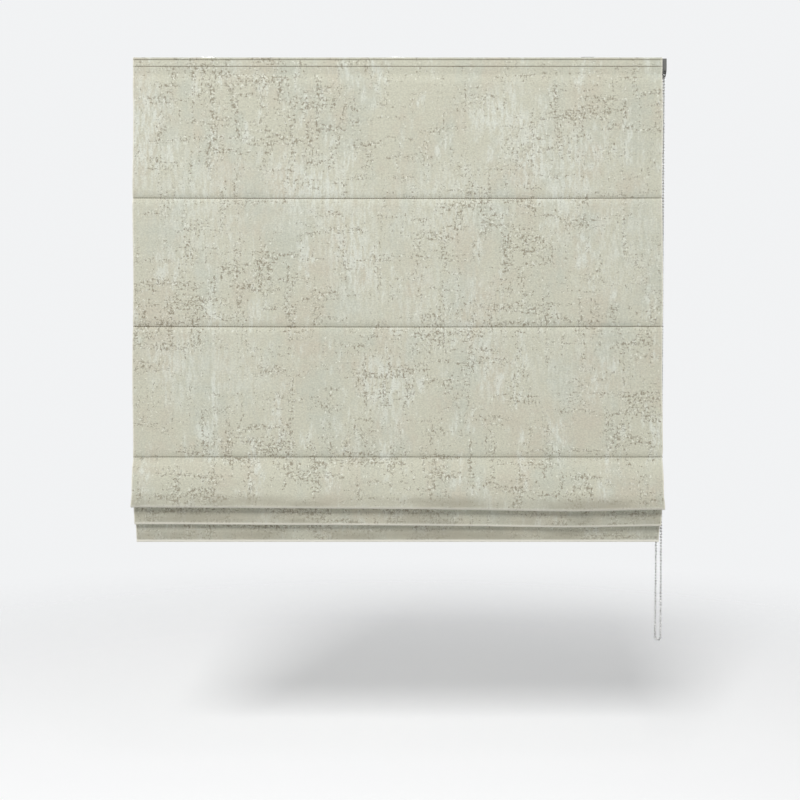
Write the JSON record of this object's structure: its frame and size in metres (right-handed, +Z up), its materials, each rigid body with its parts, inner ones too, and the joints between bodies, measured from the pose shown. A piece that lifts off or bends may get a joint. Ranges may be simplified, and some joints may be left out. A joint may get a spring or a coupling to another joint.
{
  "type": "roman blind",
  "caption": "Roman blind, printed cloth with lining and rods, gathered into two folds above a weighted hem, in a bead-chain headrail",
  "frame": {"origin": "middle of the fixing plane, on the top face of the centre bracket", "axes": "+X along the width towards the chain, -Y into the room, +Z up"},
  "size_m": [1.0691, 0.0678, 1.1778],
  "materials": {
    "rail_white": "white powder coat",
    "touch_hook": "woven hook tape",
    "touch_loop": "brushed loop tape",
    "print_cloth": "printed cotton-linen weave",
    "lining_cloth": "plain sateen lining",
    "moulded_grey": "fine spark texture",
    "moulded_white": "satin moulding",
    "moulded_clear": "clear moulding",
    "zinc_steel": "zinc plate",
    "spring_steel": "oiled wire",
    "chain_nickel": "bright nickel beads",
    "bar_aluminium": "mill finish",
    "rod_glass_fibre": "pultruded rod",
    "pocket_tape": "narrow woven tape",
    "lift_cord": "braided cord"
  },
  "bodies": {
    "headrail": {"bead_chain": "chain_nickel", "bracket_centre": "zinc_steel", "bracket_left": "zinc_steel", "bracket_right": "zinc_steel", "cord_rings_1": "moulded_clear", "cord_rings_2": "moulded_clear", "cord_rings_3": "moulded_clear", "cover_screws": "zinc_steel", "drive_cover": "moulded_grey", "drive_housing": "moulded_grey", "face_fabric": "print_cloth", "headrail": "rail_white", "hook_tape": "touch_hook", "idle_end_cap": "moulded_grey", "lever_rivets": "zinc_steel", "lift_cord_1": "lift_cord", "lift_cord_2": "lift_cord", "lift_cord_3": "lift_cord", "lift_cord_4": "lift_cord", "lining": "lining_cloth", "loop_tape": "touch_loop", "rod_1": "rod_glass_fibre", "rod_2": "rod_glass_fibre", "rod_3": "rod_glass_fibre", "rod_caps_upper": "moulded_white", "rod_tape_1": "pocket_tape", "rod_tape_2": "pocket_tape", "rod_tape_3": "pocket_tape", "spool_cradle_1": "moulded_white", "spool_cradle_2": "moulded_white", "spool_cradle_3": "moulded_white", "spool_cradle_4": "moulded_white"},
    "drive": {"chain_wheel": "moulded_white", "clutch_spring": "spring_steel", "drive_core": "moulded_white", "drive_shaft": "zinc_steel", "shaft_bush": "moulded_grey", "lift_drum_1": "moulded_white", "lift_drum_2": "moulded_white", "lift_drum_3": "moulded_white", "lift_drum_4": "moulded_white"},
    "lower_rod": {"rod_4": "rod_glass_fibre", "rod_tape_4": "pocket_tape", "rod_caps_4": "moulded_white", "cord_rings_4": "moulded_clear"},
    "hem": {"rod_5": "rod_glass_fibre", "rod_tape_5": "pocket_tape", "rod_caps_5": "moulded_white", "cord_anchors": "moulded_clear", "bottom_bar": "bar_aluminium", "bar_end_caps": "moulded_white"},
    "lever_left": {"bracket_lever_left": "zinc_steel"},
    "lever_centre": {"bracket_lever_centre": "zinc_steel"},
    "lever_right": {"bracket_lever_right": "zinc_steel"}
  },
  "joints": [
    {"name": "rod_4_drop", "type": "slide", "parent": "headrail", "child": "lower_rod", "axis": [0, 0, 1], "range_m": [-0.1812, 0], "deforming": ["face_fabric", "lining", "lift_cord_1", "lift_cord_2", "lift_cord_3", "lift_cord_4"]},
    {"name": "hem_drop", "type": "slide", "parent": "lower_rod", "child": "hem", "axis": [0, 0, 1], "range_m": [-0.2034, 0]},
    {"name": "drive_turn", "type": "hinge", "parent": "headrail", "child": "drive", "pos_m": [0, 0, -0.0212], "axis": [1, 0, 0], "range_deg": [0, 1851]},
    {"name": "lever_left_swivel", "type": "hinge", "parent": "headrail", "child": "lever_left", "pos_m": [-0.38, 0.003, 0], "axis": [0, 0, 1], "range_deg": [0, 90]},
    {"name": "lever_centre_swivel", "type": "hinge", "parent": "headrail", "child": "lever_centre", "pos_m": [0, 0.003, 0], "axis": [0, 0, 1], "range_deg": [0, 90]},
    {"name": "lever_right_swivel", "type": "hinge", "parent": "headrail", "child": "lever_right", "pos_m": [0.38, 0.003, 0], "axis": [0, 0, 1], "range_deg": [0, 90]}
  ],
  "couplings": [
    {"joint": "hem_drop", "follows": "rod_4_drop", "ratio": 1.1198},
    {"joint": "drive_turn", "follows": "rod_4_drop", "rad_per_m": -178.13}
  ]
}
